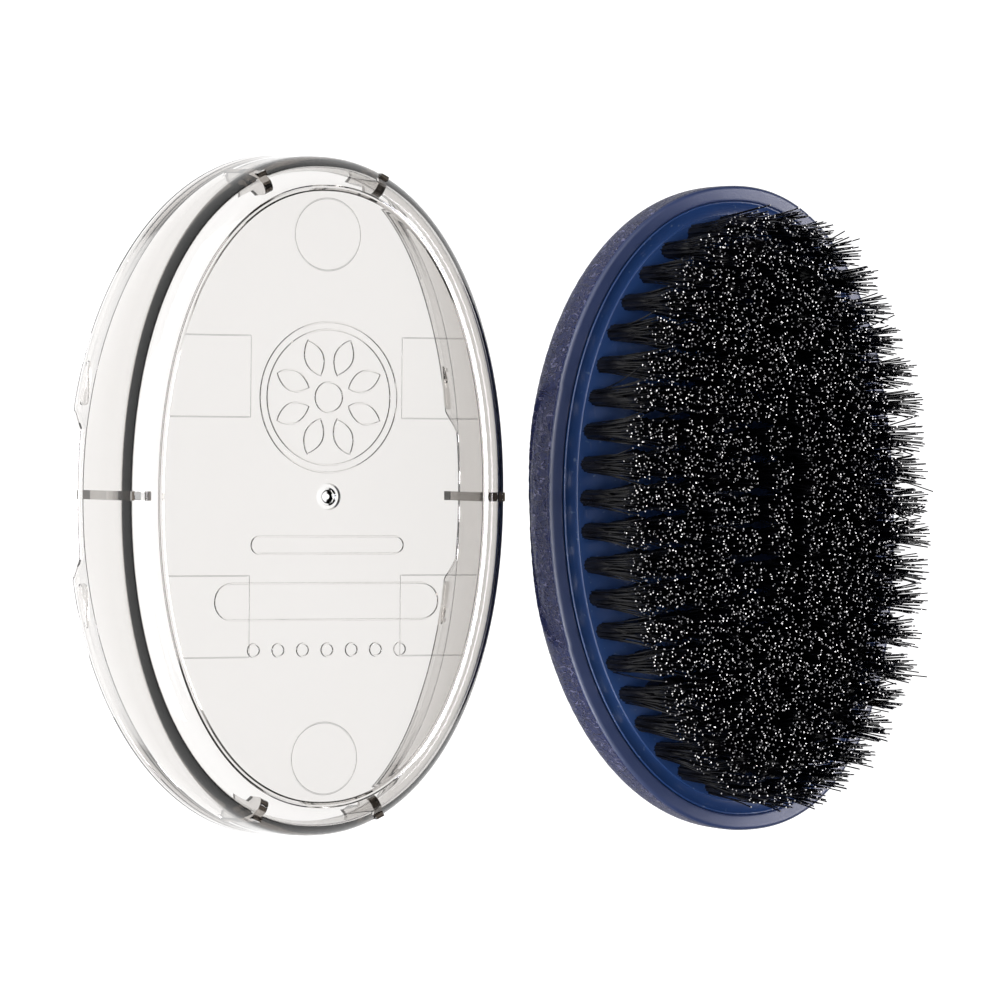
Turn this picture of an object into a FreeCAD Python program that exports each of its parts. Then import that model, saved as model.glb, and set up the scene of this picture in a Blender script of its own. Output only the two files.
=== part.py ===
import FreeCAD, Part
import math
import os

# A palm-held fade brush lying on its back, bristles up, beside its clear dust cover.
# Millimetres. X is the width, Y the length, +Z the way the bristles point.
# The origin is the middle of the small flat land the brush rests on.

# ---- shared outline -------------------------------------------------------------
OVAL_POWER = 2.15          # 2 is an ellipse; a little more gives fuller shoulders
OVAL_POINTS = 48
HALF_LENGTH = 62.5         # brush body, 125 mm long
HALF_WIDTH = 38.6          # brush body, about 77 mm wide
BOW_RISE = 6.7             # the ends of the brush rise this far above its middle
BOW_RADIUS = HALF_LENGTH ** 2 / (2 * BOW_RISE)

# ---- handle ---------------------------------------------------------------------
RIM_Z = 19.0               # flat rim band, at mid length
RIM_EDGE_RADIUS = 1.0
SHELL_WALL = 2.4
DOME_DEPTH = 16.0          # the rounded back is this deep, below an upright wall
DOME_POWER = 3.5           # how square the shoulder of the rounded back is
LAND_CUT = 0.25            # taken off the back to leave a flat land
DOME_HEIGHTS = [0.0, 0.5, 1.3, 2.6, 4.5, 7.0, 10.5, 14.0, 17.5, 21.0, 24.0, 29.0]
# finger recess in each long side: how deep it is at each height
RECESS_DEPTH_LEVELS = [
    (2.0, 0.0),
    (5.0, 0.0),
    (8.0, 0.7),
    (11.0, 1.0),
    (15.0, 1.0),
    (17.5, 0.5),
    (19.0, 0.25),
    (29.0, 0.25),
]
RECESS_HALF_LENGTH = 25.6
RECESS_FLAT_SHARE = 0.55   # how much of that length the lowest part of its outline takes
RECESS_BOTTOM = 6.0
RECESS_SHOULDER = 12.5
RECESS_REGION_FROM = 28.0  # the recesses only reach this close to the middle
CLEAR_ABOVE = 30.0         # safely above the rim

# ---- bristle plate --------------------------------------------------------------
SEAT_HALF_LENGTH = 59.7    # opening in the rim that takes the plate
SEAT_HALF_WIDTH = 35.6
SEAT_GAP = 0.2
SEAT_DEPTH = 3.4
LEDGE = 3.0                # width of the shelf the plate rests on
PAD_HALF_LENGTH = 56.9     # slightly raised pad that carries the tufts
PAD_HALF_WIDTH = 33.0
PAD_RISE = 0.4
PEG_RADIUS = 2.0
PEG_LENGTH = 6.0
PEG_CENTRES = [(12.5, 27.0), (-12.5, 27.0), (12.5, -27.0), (-12.5, -27.0)]
POST_RADIUS = 4.0
PEG_GAP = 0.15

# ---- tufts ----------------------------------------------------------------------
TUFT_PITCH = 6.45
RING_HALF_LENGTH = 55.0    # centre line of the outermost ring
RING_HALF_WIDTH = 30.6
RING_STEP = 5.75
RING_COUNTS = [43, 38, 33, 28, 22]
ROW_COUNT = 9              # the single row down the middle
ROOT_RADIUS = 1.55
HOLE_RADIUS = 1.65
HOLE_DEPTH = 3.0
TIP_RADIUS = 2.53           # the closest tufts are 5.11 apart
TIP_Z = 39.4               # the tips are trimmed almost flat, at mid length
TIP_FOLLOWS_BOW = 0.15
ANCHOR_SIZE = (3.0, 0.35, 1.5)
ANCHOR_GAP = 0.05

# ---- dust cover -----------------------------------------------------------------
COVER_X = -90.0
COVER_Y = 6.2
COVER_TURN = -2.6          # degrees about Z: it was put down not quite in line with the brush
COVER_HALF_LENGTH = 64.5
COVER_HALF_WIDTH = 40.25
COVER_TAPER = 1.15         # each side leans in this far by the top
COVER_HEIGHT = 29.8        # rim at mid length to the flat top
COVER_WALL = 1.9
COVER_TOP = 1.8
COVER_CORNER = 4.0
SKIRT_HEIGHT = 6.4
SKIRT_GAP = 0.35           # between the skirt and the brush body, each side
NOTCH_HALF_LENGTH = 16.5
NOTCH_DEPTH = 4.7
NOTCH_RAMP = 4.3
BEAD_CENTRE_Y = 20.9
BEAD_LENGTH = 8.6
BEAD_HEIGHT = 1.6
BEAD_REACH = 0.9
BEAD_Z = 2.0
BEAD_SLOPE = 0.085         # the oval runs this much off straight beside a bead
BEAD_EDGE_RADIUS = 0.36
RIB_THICK = 1.7
RIB_DEEP = 4.2
RIB_SHALLOW = 2.6
RIB_HEIGHT = 20.8
RIB_SHALLOW_HEIGHT = 7.5
RIB_ROUND = 2.2            # its upper end is rounded off by this much
RIB_ROOT = 1.2             # it starts this deep inside the wall
END_RIB = (12.5, 60.2)     # where the two ribs at each end stand
END_RIB_INWARD = (0.43, 0.90)
GATE_RADIUS = 2.5
GATE_DEPTH = 0.5
CORNER_FACETS = 3


def bow(y):
    return BOW_RISE * (y / HALF_LENGTH) ** 2


def dome_rise(spread, bow_share):
    """Height of the rounded back, a share of the way out from its middle to its edge."""
    rounded = DOME_DEPTH * (1 - (1 - spread ** DOME_POWER) ** (1 / DOME_POWER))
    return rounded + bow_share * BOW_RISE * spread ** 2 - LAND_CUT


def spread_at(z, bow_share):
    """How far out, from 0 to 1, the rounded back reaches the height z."""
    low = 0.0
    high = 1.0
    if z >= dome_rise(high, bow_share):
        return high
    for _ in range(60):
        middle = (low + high) / 2
        if dome_rise(middle, bow_share) < z:
            low = middle
        else:
            high = middle
    return low


def dome_levels(inset=0.0):
    """Height, half length and half width of the handle's outside at each level."""
    levels = []
    for z in DOME_HEIGHTS:
        half_length = HALF_LENGTH * spread_at(z, 1)
        half_width = HALF_WIDTH * spread_at(z, 0)
        levels.append((z, half_length - inset, half_width - inset))
    return levels


def oval_point(half_length, half_width, turn):
    c = math.cos(turn)
    s = math.sin(turn)
    x = math.copysign(half_width * abs(c) ** (2 / OVAL_POWER), c)
    y = math.copysign(half_length * abs(s) ** (2 / OVAL_POWER), s)
    return x, y


def oval_wire(half_length, half_width, z):
    points = []
    for i in range(OVAL_POINTS):
        x, y = oval_point(half_length, half_width, 2 * math.pi * i / OVAL_POINTS)
        points.append(FreeCAD.Vector(x, y, z))
    curve = Part.BSplineCurve()
    curve.interpolate(Points=points, PeriodicFlag=True)
    return Part.Wire(curve.toShape())


def oval_loft(levels):
    wires = [oval_wire(half_length, half_width, z) for z, half_length, half_width in levels]
    return Part.makeLoft(wires, True, False)


def oval_prism(half_length, half_width, z_low, z_high):
    face = Part.Face(oval_wire(half_length, half_width, z_low))
    return face.extrude(FreeCAD.Vector(0, 0, z_high - z_low))


def above_bow(z_middle):
    """Everything above the bowed surface whose middle is at z_middle."""
    round_bar = Part.makeCylinder(
        BOW_RADIUS, 120, FreeCAD.Vector(-60, 0, z_middle + BOW_RADIUS), FreeCAD.Vector(1, 0, 0))
    slab = Part.makeBox(120, 150, 60, FreeCAD.Vector(-60, -75, z_middle - 5))
    return round_bar.common(slab)


def long_edges(shape, z_low, z_high, half_width_low):
    """Edges that go right round the oval between two heights."""
    found = []
    for edge in shape.Edges:
        box = edge.BoundBox
        inside = box.ZMin > z_low and box.ZMax < z_high
        if inside and box.YLength > 1.5 * HALF_WIDTH and box.XMax > half_width_low:
            found.append(edge)
    return found


def recess_cutters():
    """The arched regions the finger recesses are taken from, one on each long side."""
    reach = RECESS_HALF_LENGTH
    flat = RECESS_FLAT_SHARE * reach
    outline = [
        FreeCAD.Vector(0, -reach, CLEAR_ABOVE),
        FreeCAD.Vector(0, -reach, RECESS_SHOULDER),
        FreeCAD.Vector(0, -flat, RECESS_BOTTOM),
        FreeCAD.Vector(0, flat, RECESS_BOTTOM),
        FreeCAD.Vector(0, reach, RECESS_SHOULDER),
        FreeCAD.Vector(0, reach, CLEAR_ABOVE),
    ]
    sides = [Part.makeLine(outline[0], outline[1])]
    low = Part.BSplineCurve()
    low.interpolate(Points=outline[1:5])
    sides.append(low.toShape())
    sides.append(Part.makeLine(outline[4], outline[5]))
    sides.append(Part.makeLine(outline[5], outline[0]))
    face = Part.Face(Part.Wire(sides))
    regions = []
    for side in (1, -1):
        region = face.extrude(FreeCAD.Vector(side * HALF_WIDTH / 2, 0, 0))
        region.translate(FreeCAD.Vector(side * RECESS_REGION_FROM, 0, 0))
        regions.append(region)
    return regions


def recess_depth(z):
    for (z0, d0), (z1, d1) in zip(RECESS_DEPTH_LEVELS, RECESS_DEPTH_LEVELS[1:]):
        if z0 <= z <= z1:
            return d0 + (d1 - d0) * (z - z0) / (z1 - z0)
    return 0.0


def make_handle():
    dome = oval_loft(dome_levels())
    body = dome.cut(above_bow(RIM_Z))
    body = body.makeFillet(RIM_EDGE_RADIUS, long_edges(body, RIM_Z - 1, RIM_Z + 10, HALF_WIDTH - 2))

    cavity = oval_loft(dome_levels(SHELL_WALL)[1:])
    cavity.translate(FreeCAD.Vector(0, 0, SHELL_WALL - DOME_HEIGHTS[1]))
    shaft = oval_prism(SEAT_HALF_LENGTH - LEDGE, SEAT_HALF_WIDTH - LEDGE, -1, 40)
    cavity = cavity.common(shaft).cut(above_bow(RIM_Z - SEAT_DEPTH + 0.5))
    seat = oval_prism(SEAT_HALF_LENGTH, SEAT_HALF_WIDTH, 5, 40).common(above_bow(RIM_Z - SEAT_DEPTH))
    body = body.cut(cavity).cut(seat)

    floor = oval_loft(dome_levels(SHELL_WALL / 2))
    for x, y in PEG_CENTRES:
        post = Part.makeCylinder(POST_RADIUS, 30, FreeCAD.Vector(x, y, 0.8))
        post = post.common(floor).cut(above_bow(RIM_Z - SEAT_DEPTH - 0.1))
        top = RIM_Z - SEAT_DEPTH + bow(y)
        bore = Part.makeCylinder(
            PEG_RADIUS + PEG_GAP, PEG_LENGTH + 3, FreeCAD.Vector(x, y, top - PEG_LENGTH - 0.8))
        body = body.fuse(post).cut(bore)

    held = oval_loft([(z, a + 5, b - recess_depth(z)) for z, a, b in dome_levels()])
    for region in recess_cutters():
        body = body.cut(region.cut(held))
    return body.removeSplitter()


def ring_centres(ring):
    """Evenly spaced tuft centres on one ring, each ring half a pitch off the last."""
    half_length = RING_HALF_LENGTH - ring * RING_STEP
    half_width = RING_HALF_WIDTH - ring * RING_STEP
    count = RING_COUNTS[ring]
    steps = 1440
    travel = [0.0]
    points = [oval_point(half_length, half_width, 0.0)]
    for i in range(1, steps + 1):
        point = oval_point(half_length, half_width, 2 * math.pi * i / steps)
        travel.append(travel[-1] + math.dist(point, points[-1]))
        points.append(point)
    centres = []
    start = 0.5 if ring % 2 else 0.0
    k = 0
    for n in range(count):
        want = (n + start) / count * travel[-1]
        while travel[k + 1] < want:
            k += 1
        part_way = (want - travel[k]) / (travel[k + 1] - travel[k])
        x = points[k][0] + part_way * (points[k + 1][0] - points[k][0])
        y = points[k][1] + part_way * (points[k + 1][1] - points[k][1])
        centres.append((x, y))
    return centres


def row_centres():
    middle = (ROW_COUNT - 1) / 2
    return [(0.0, (n - middle) * TUFT_PITCH) for n in range(ROW_COUNT)]


def all_rings():
    rings = [ring_centres(ring) for ring in range(len(RING_COUNTS))]
    rings.append(row_centres())
    return rings


def hole_floor(y):
    return RIM_Z + bow(y) + PAD_RISE - HOLE_DEPTH


def make_plate(rings):
    plate = oval_prism(SEAT_HALF_LENGTH - SEAT_GAP, SEAT_HALF_WIDTH - SEAT_GAP, 5, 40)
    plate = plate.common(above_bow(RIM_Z - SEAT_DEPTH)).cut(above_bow(RIM_Z))
    pad = oval_prism(PAD_HALF_LENGTH, PAD_HALF_WIDTH, 5, 40)
    pad = pad.common(above_bow(RIM_Z - 0.5)).cut(above_bow(RIM_Z + PAD_RISE))
    plate = plate.fuse(pad)
    for x, y in PEG_CENTRES:
        top = RIM_Z - SEAT_DEPTH + bow(y)
        peg = Part.makeCylinder(PEG_RADIUS, PEG_LENGTH + 0.8, FreeCAD.Vector(x, y, top - PEG_LENGTH))
        plate = plate.fuse(peg)
    plate = plate.removeSplitter()
    holes = []
    for ring in rings:
        for x, y in ring:
            holes.append(Part.makeCylinder(
                HOLE_RADIUS, HOLE_DEPTH + 3, FreeCAD.Vector(x, y, hole_floor(y))))
    return plate.cut(Part.makeCompound(holes))


def make_tuft(x, y, turn):
    """A bundle that flares from its root to its tips, folded over a flat wire anchor."""
    low = hole_floor(y) + ANCHOR_GAP
    mouth = RIM_Z + bow(y) + PAD_RISE + 1.0
    top = TIP_Z + TIP_FOLLOWS_BOW * bow(y)
    profile = [
        FreeCAD.Vector(0, 0, low),
        FreeCAD.Vector(ROOT_RADIUS, 0, low),
        FreeCAD.Vector(ROOT_RADIUS, 0, mouth),
        FreeCAD.Vector(TIP_RADIUS, 0, top),
        FreeCAD.Vector(0, 0, top),
    ]
    face = Part.Face(Part.makePolygon(profile + [profile[0]]))
    bundle = face.revolve(FreeCAD.Vector(0, 0, 0), FreeCAD.Vector(0, 0, 1), 360)
    slot_height = ANCHOR_SIZE[2] + 2 * ANCHOR_GAP
    slot = Part.makeBox(
        4, ANCHOR_SIZE[1] + 2 * ANCHOR_GAP, slot_height,
        FreeCAD.Vector(-2, -ANCHOR_SIZE[1] / 2 - ANCHOR_GAP, low - ANCHOR_GAP))
    bundle = bundle.cut(slot)
    bundle.rotate(FreeCAD.Vector(0, 0, 0), FreeCAD.Vector(0, 0, 1), turn)
    bundle.translate(FreeCAD.Vector(x, y, 0))
    return bundle


def make_anchor(x, y, turn):
    length, thick, height = ANCHOR_SIZE
    strip = Part.makeBox(
        length, thick, height, FreeCAD.Vector(-length / 2, -thick / 2, hole_floor(y) + ANCHOR_GAP))
    strip.rotate(FreeCAD.Vector(0, 0, 0), FreeCAD.Vector(0, 0, 1), turn)
    strip.translate(FreeCAD.Vector(x, y, 0))
    return strip


def anchor_turn(index):
    return (37 * index) % 180


def cover_rib(x, y, inward):
    """An upright rib inside the cover wall: shallow low down, deeper above, rounded on top."""
    low = SKIRT_HEIGHT
    high = SKIRT_HEIGHT + RIB_HEIGHT
    step = low + RIB_SHALLOW_HEIGHT
    outline = [
        (-RIB_ROOT, low - 1),
        (RIB_SHALLOW, low - 1),
        (RIB_SHALLOW, step),
        (RIB_DEEP, step + 1.5),
        (RIB_DEEP, high - RIB_ROUND),
        (RIB_DEEP - RIB_ROUND / 3, high - RIB_ROUND / 3),
        (RIB_DEEP - RIB_ROUND, high),
        (-RIB_ROOT, high),
    ]
    points = [FreeCAD.Vector(u, -RIB_THICK / 2, z) for u, z in outline]
    face = Part.Face(Part.makePolygon(points + [points[0]]))
    rib = face.extrude(FreeCAD.Vector(0, RIB_THICK, 0))
    rib.rotate(FreeCAD.Vector(0, 0, 0), FreeCAD.Vector(0, 0, 1), inward)
    rib.translate(FreeCAD.Vector(x, y, 0))
    return rib


def notch_cutter():
    """The finger gap across both long sides of the rim, with slanted ends."""
    below = 3.0
    reach = 60.0
    lower = NOTCH_HALF_LENGTH + below * NOTCH_RAMP / NOTCH_DEPTH
    upper = NOTCH_HALF_LENGTH - NOTCH_RAMP
    outline = [
        FreeCAD.Vector(-reach, -lower, -below),
        FreeCAD.Vector(-reach, -upper, NOTCH_DEPTH),
        FreeCAD.Vector(-reach, upper, NOTCH_DEPTH),
        FreeCAD.Vector(-reach, lower, -below),
    ]
    face = Part.Face(Part.makePolygon(outline + [outline[0]]))
    return face.extrude(FreeCAD.Vector(2 * reach, 0, 0))


def snap_bead(side, end):
    """A rounded bar on the inside of the skirt that drops into a finger recess."""
    y = end * BEAD_CENTRE_Y
    share = (1 - (abs(y) / (HALF_LENGTH + SKIRT_GAP)) ** OVAL_POWER) ** (1 / OVAL_POWER)
    x = side * ((HALF_WIDTH + SKIRT_GAP) * share + 1.0 - BEAD_REACH)
    bar = Part.makeBox(
        2.0, BEAD_LENGTH, BEAD_HEIGHT, FreeCAD.Vector(-1, -BEAD_LENGTH / 2, -BEAD_HEIGHT / 2))
    bar = bar.makeFillet(BEAD_EDGE_RADIUS, [e for e in bar.Edges if e.BoundBox.YLength > 1])
    lean = side * end * math.degrees(math.atan(BEAD_SLOPE))
    bar.rotate(FreeCAD.Vector(0, 0, 0), FreeCAD.Vector(0, 0, 1), lean)
    bar.translate(FreeCAD.Vector(x, y, BEAD_Z + bow(y)))
    return bar


def tapered_hood(half_length, half_width, z_low, z_top, corner):
    """A closed-top oval that leans in as it rises; facets stand for its rounded top corner."""
    wires = [oval_wire(half_length, half_width, z_low)]
    facets = CORNER_FACETS if corner else 0
    for facet in range(facets + 1):
        turn = math.radians(90 * facet / CORNER_FACETS)
        z = z_top - corner + corner * math.sin(turn)
        inset = COVER_TAPER * z / COVER_HEIGHT + corner * (1 - math.cos(turn))
        wires.append(oval_wire(half_length - inset, half_width - inset, z))
    return Part.makeLoft(wires, True, True)


def make_cover():
    top = COVER_HEIGHT
    outer = tapered_hood(COVER_HALF_LENGTH, COVER_HALF_WIDTH, -1.0, top, COVER_CORNER)
    inner = tapered_hood(
        COVER_HALF_LENGTH - COVER_WALL, COVER_HALF_WIDTH - COVER_WALL, -2.0, top - COVER_TOP, 0)
    skirt = oval_prism(HALF_LENGTH + SKIRT_GAP, HALF_WIDTH + SKIRT_GAP, -2, 30)
    skirt = skirt.cut(above_bow(SKIRT_HEIGHT))
    body = outer.cut(inner).cut(skirt)

    wall_x = COVER_HALF_WIDTH - COVER_WALL
    ribs = [cover_rib(-wall_x, 0, 0), cover_rib(wall_x, 0, 180)]
    rib_x, rib_y = END_RIB
    inward_x, inward_y = END_RIB_INWARD
    for side in (1, -1):
        for end in (1, -1):
            inward = math.degrees(math.atan2(-end * inward_y, -side * inward_x))
            ribs.append(cover_rib(side * rib_x, end * rib_y, inward))
    body = body.fuse([rib.common(outer) for rib in ribs]).cut(skirt)
    body = body.fuse([snap_bead(side, end) for side in (1, -1) for end in (1, -1)])
    body = body.common(above_bow(0)).cut(notch_cutter())
    gate = Part.makeCylinder(GATE_RADIUS, 2, FreeCAD.Vector(0, 0, top - GATE_DEPTH))
    body = body.cut(gate)
    # the rim is bowed, so the cover stands on the four corners beside its finger notches
    foot = NOTCH_HALF_LENGTH - bow(NOTCH_HALF_LENGTH) * NOTCH_RAMP / NOTCH_DEPTH
    body.rotate(FreeCAD.Vector(0, 0, 0), FreeCAD.Vector(0, 0, 1), COVER_TURN)
    body.translate(FreeCAD.Vector(COVER_X, COVER_Y, -bow(foot)))
    return body


def save(shape, node):
    shape.exportStep("parts/" + node + ".step")


os.makedirs("parts", exist_ok=True)
rings = all_rings()
save(make_handle(), "handle_shell")
save(make_plate(rings), "bristle_plate")
for number, ring in enumerate(rings, start=1):
    tufts = []
    anchors = []
    for index, (x, y) in enumerate(ring):
        tufts.append(make_tuft(x, y, anchor_turn(index)))
        anchors.append(make_anchor(x, y, anchor_turn(index)))
    save(Part.makeCompound(tufts), "tufts_ring_" + str(number))
    save(Part.makeCompound(anchors), "tuft_anchors_" + str(number))
save(make_cover(), "dust_cover")
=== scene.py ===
import bmesh
import bpy
import math
import numpy as np
from mathutils import Matrix, Vector


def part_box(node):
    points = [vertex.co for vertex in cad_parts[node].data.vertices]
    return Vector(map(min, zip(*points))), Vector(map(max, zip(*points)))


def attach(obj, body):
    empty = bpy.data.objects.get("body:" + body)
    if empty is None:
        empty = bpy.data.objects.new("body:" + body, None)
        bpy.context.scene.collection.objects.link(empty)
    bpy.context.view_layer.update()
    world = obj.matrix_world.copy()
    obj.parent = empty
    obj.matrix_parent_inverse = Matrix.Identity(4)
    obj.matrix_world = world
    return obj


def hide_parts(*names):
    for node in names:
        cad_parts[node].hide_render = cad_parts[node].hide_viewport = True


# A fade brush lying bristles up beside its clear dust cover.
# Shapes are worked out in millimetres and turned to metres when a mesh is made.

MM = 0.001

# ---- brush, the same driving dimensions as the CAD --------------------------------
OVAL_POWER = 2.15
HALF_LENGTH = 62.5
HALF_WIDTH = 38.6
BOW_RISE = 6.7
RIM_Z = 19.0
RIM_EDGE_RADIUS = 1.0
RIM_SLOPE = 0.16
DOME_DEPTH = 16.0
DOME_POWER = 3.5
LAND_CUT = 0.25
SHELL_WALL = 2.4
SEAT_HALF_LENGTH = 59.7
SEAT_HALF_WIDTH = 35.6
SEAT_DEPTH = 3.4
SEAT_GAP = 0.22
SEAT_EDGE = 0.3
LEDGE = 3.0
PAD_INSET = 2.6
PAD_RISE = 0.4
PLATE_LIP = 0.14
RECESS_HALF_LENGTH = 25.6
RECESS_HEIGHT = 13.5            # below the rim
RECESS_DEPTH = 0.8
RECESS_FLAT_SHARE = 0.965       # of the way out to its edge, where the slope starts
RECESS_FROM_X = 15.0            # only the long sides are further out than this
RECESS_FADE = (2.4, 1.3)        # below the rim, where it runs out upwards
GRAIN_HEIGHT = 0.15
GRAIN_CELL = (1.9, 2.4, 1.9)
GRAIN_WARP_CELL = 3.4
GRAIN_WARP = 0.45
GRAIN_LINE = (0.70, 0.99)
GRAIN_OUTSIDE_RECESS = 0.35
GRAIN_AT_ENDS = 0.15
GRAIN_FADES_ALONG = (40.0, 58.0)
GRAIN_STARTS = (2.0, 5.0)       # above the bowed underside
HANDLE_AROUND = 900
DOME_FLAT = (0.03, 0.78)
DOME_STEEP = 0.21               # the outer share of the dome, with closer rings
DOME_FLAT_RINGS = 12
DOME_STEEP_RINGS = 50
RIM_EDGE_STEPS = 8
SMOOTH_RIM_RINGS = 7            # the last rings of the rim's edge carry no grain
HANDLE_CREASE = 50
PLATE_AROUND = 720
PLATE_EDGE = 0.25
PAD_EDGE = 0.18

# ---- tufts ------------------------------------------------------------------------
TUFT_PITCH = 6.45
RING_HALF_LENGTH = 55.0
RING_HALF_WIDTH = 30.6
RING_STEP = 5.75
RING_COUNTS = [43, 38, 33, 28, 22]
ROW_COUNT = 9
TIP_Z = 39.4
TIP_FOLLOWS_BOW = 0.15
STRANDS = 44
STRAND_RADIUS = 0.14
STRAND_SIDES = 5
STRAND_STEPS = 6
ROOT_SPREAD = 1.6
TIP_SPREAD = 3.0
CORE_SIDES = 36
CORE_FLUTES = 12
CORE_FLUTE_DEPTH = 0.08
OUTER_CORE = [(1.5, -0.3), (1.5, 1.5), (1.5, 4.0), (1.45, 7.0), (1.1, 10.0), (0.4, 12.0)]
INNER_CORE = [(1.6, -0.3), (1.9, 3.0), (2.4, 6.5), (2.8, 9.5), (2.2, 11.5), (0.8, 12.5)]
TIP_LEAN = (0.9, 0.0)
GOLDEN_TURN = 2.39996           # spreads points evenly over a disc
TURN_JITTER = 0.12
REACH_JITTER = 0.05
LEAN_JITTER = 0.28
TIP_JITTER = 0.33
BEND_JITTER = 0.25
HEIGHT_JITTER = 0.22
STRAY_SHARE = 0.06
STRAY_REACH = 1.6
SHORT_SHARE = 0.08
SHORT_BY = (0.3, 2.0)
TALLEST = 1.1                   # no strand stands further than this above TIP_Z
ROOT_DEPTH = 0.35
FLARE_LOW = 0.1                 # the straight share of a strand's outward sweep
FLARE_POWER = 1.6
BEND_SHARE = 0.5
STRAND_THICKNESS = (0.9, 1.08)
CUT_WIDTH = 1.12
CUT_LIP = 0.03
CUT_CROWN = 0.075
STRAND_CREASE = 60
SEED = 20

# ---- dust cover ---------------------------------------------------------------------
COVER_HALF_LENGTH = 64.5
COVER_HALF_WIDTH = 40.25
COVER_TAPER = 1.15
COVER_HEIGHT = 29.8
COVER_TURN = math.radians(-2.6)
COVER_WALL = 1.9
COVER_TOP = 1.8
COVER_CORNER = 7.2
CEILING_CORNER = 3.6
CEILING_LINE = 0.55
COVER_CREASE = 25
SKIRT_HEIGHT = 6.4
SKIRT_GAP = 0.35
NOTCH_HALF_LENGTH = 16.5
NOTCH_DEPTH = 4.7
NOTCH_RAMP = 4.3
BEAD_CENTRE_Y = 20.9
RIB_THICK = 1.7
RIB_DEEP = 4.2
RIB_SHALLOW = 2.6
RIB_HEIGHT = 20.4
RIB_SHALLOW_HEIGHT = 7.5
RIB_STEP = 1.5                  # height of the slope from shallow to deep
RIB_ROUND = 2.0
RIB_ROUND_STEPS = 6
RIB_ROOT = (0.9, 0.6)           # how deep in the wall, at its foot and its top
RIB_FOOT_FOLLOWS_BOW = 0.98
RIB_IN_WALL = 0.6
END_RIB = (12.5, 59.7)
END_RIB_INWARD = (0.43, 0.90)
BEAD_RADIUS = 0.85
BEAD_Z = 2.2
BEAD_IN_WALL = 0.1
BEAD_SLOPE = 0.085
BEAD_SIDES = 16
BEAD_STATIONS = [-4.3, -4.15, -3.8, -2.5, 0, 2.5, 3.8, 4.15, 4.3]
BEAD_SIZES = [0.25, 0.6, 0.9, 1, 1, 1, 0.9, 0.6, 0.25]
COVER_AROUND = 960
COVER_EDGE = 0.25
COVER_BOWED_TO = 12.0           # rings follow the bowed rim up to here, and are level above
CORNER_STEPS = 12
NO_NOTCH = -9.0                 # a rim height low enough never to count
NOTCH_FROM_X = 20.0
# The moulding gate in the middle of the top: radius and drop of each of its rings.
GATE = [
    (2.5, 0.0), (2.3, -0.6), (2.0, -0.7), (1.7, -0.3),
    (1.3, -0.25), (1.0, -0.6), (0.5, -0.65), (0.1, -0.4),
]
# The hollow line round the ceiling: inset and drop, in shares of CEILING_LINE.
CEILING_GROOVE = [(1.55, 0.7), (1.0, 1.0), (0.45, 0.7)]

# ---- ornament on the cover's top ------------------------------------------------------
ORNAMENT_WIDTH = 0.5
ORNAMENT_SUNK = 0.2
ORNAMENT_RISE = 0.3
ROSETTE_Y = 18.5
ROSETTE_RINGS = [(14.0, 96), (12.6, 96), (2.8, 40)]
PETALS = 8
PETAL_REACH = (4.4, 11.4)
PETAL_WIDTH = 1.9
PETAL_STEPS = 14
PETAL_FULLNESS = 0.8
BARS = [(-9.0, 14.0, 1.6), (-19.5, 19.5, 3.4)]
DOT_Y = -28.5
DOT_RADIUS = 1.2
DOT_PITCH = 5.0
DOTS_EACH_SIDE = 3

# ---- moulding marks under the cover's top ---------------------------------------------
MARK_SUNK = 0.1
MARK_DEPTH = 0.22
EJECTOR_RADIUS = 6.7
EJECTOR_Y = 48.8
EJECTOR_WIDTH = 0.35
SLIDE_CORNER = [(31.5, 14.7), (15.5, 14.7), (15.5, 29.8), (29.0, 29.8)]
SLIDE_WIDTH = 0.3
SLIDE_SPLITS = (0.04, 0.5, 0.96, 1.0)

SMOKE_COLOUR = (0.12, 0.06, 0.0)
SMOKE_DENSITY = 190.0

# ---- camera -------------------------------------------------------------------------
CAMERA_PLACE = Vector((-0.5408, 0.0387, 0.9994))
CAMERA_YAW = math.radians(-26.64)
CAMERA_PITCH = math.radians(1.83)
CAMERA_ROLL = math.radians(-1.87)
CAMERA_LENS = 206.7

# ---- light table --------------------------------------------------------------------
TABLE_CENTRE = (-0.04, 0.003)
TABLE_BRIGHT_RADIUS = 0.18
TABLE_DARK_RADIUS = 0.50
TABLE_BRIGHTNESS = 1.2
TABLE_DARKNESS = 0.25
TABLE_HALF_SIZE = 6.0
TABLE_BELOW = 0.0002

# ---- lamps: name, place, width, height, power, colour -----------------------------------
LAMP_TARGET = (-0.04, 0, 0.01)
LAMPS = [
    ("left_softbox", (-0.9, 0.4, 1.4), 1.8, 1.8, 20, (1, 1, 1)),
    ("right_strip", (0.72, 0.0, 0.85), 0.9, 0.25, 13, (0.93, 0.92, 1.0)),
    ("left_strip", (-0.9, -0.1, 0.35), 1.0, 0.5, 20, (1, 1, 1)),
]
ROOM_LIGHT = 0.04

rng = np.random.default_rng(SEED)


# ---- shapes shared by several pieces ------------------------------------------------
def bow(y):
    return BOW_RISE * (np.asarray(y) / HALF_LENGTH) ** 2


def oval(half_length, half_width, turns):
    """Points of the rounded oval outline, one for each angle in turns."""
    c = np.cos(turns)
    s = np.sin(turns)
    x = np.sign(c) * half_width * np.abs(c) ** (2 / OVAL_POWER)
    y = np.sign(s) * half_length * np.abs(s) ** (2 / OVAL_POWER)
    return x, y


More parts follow.
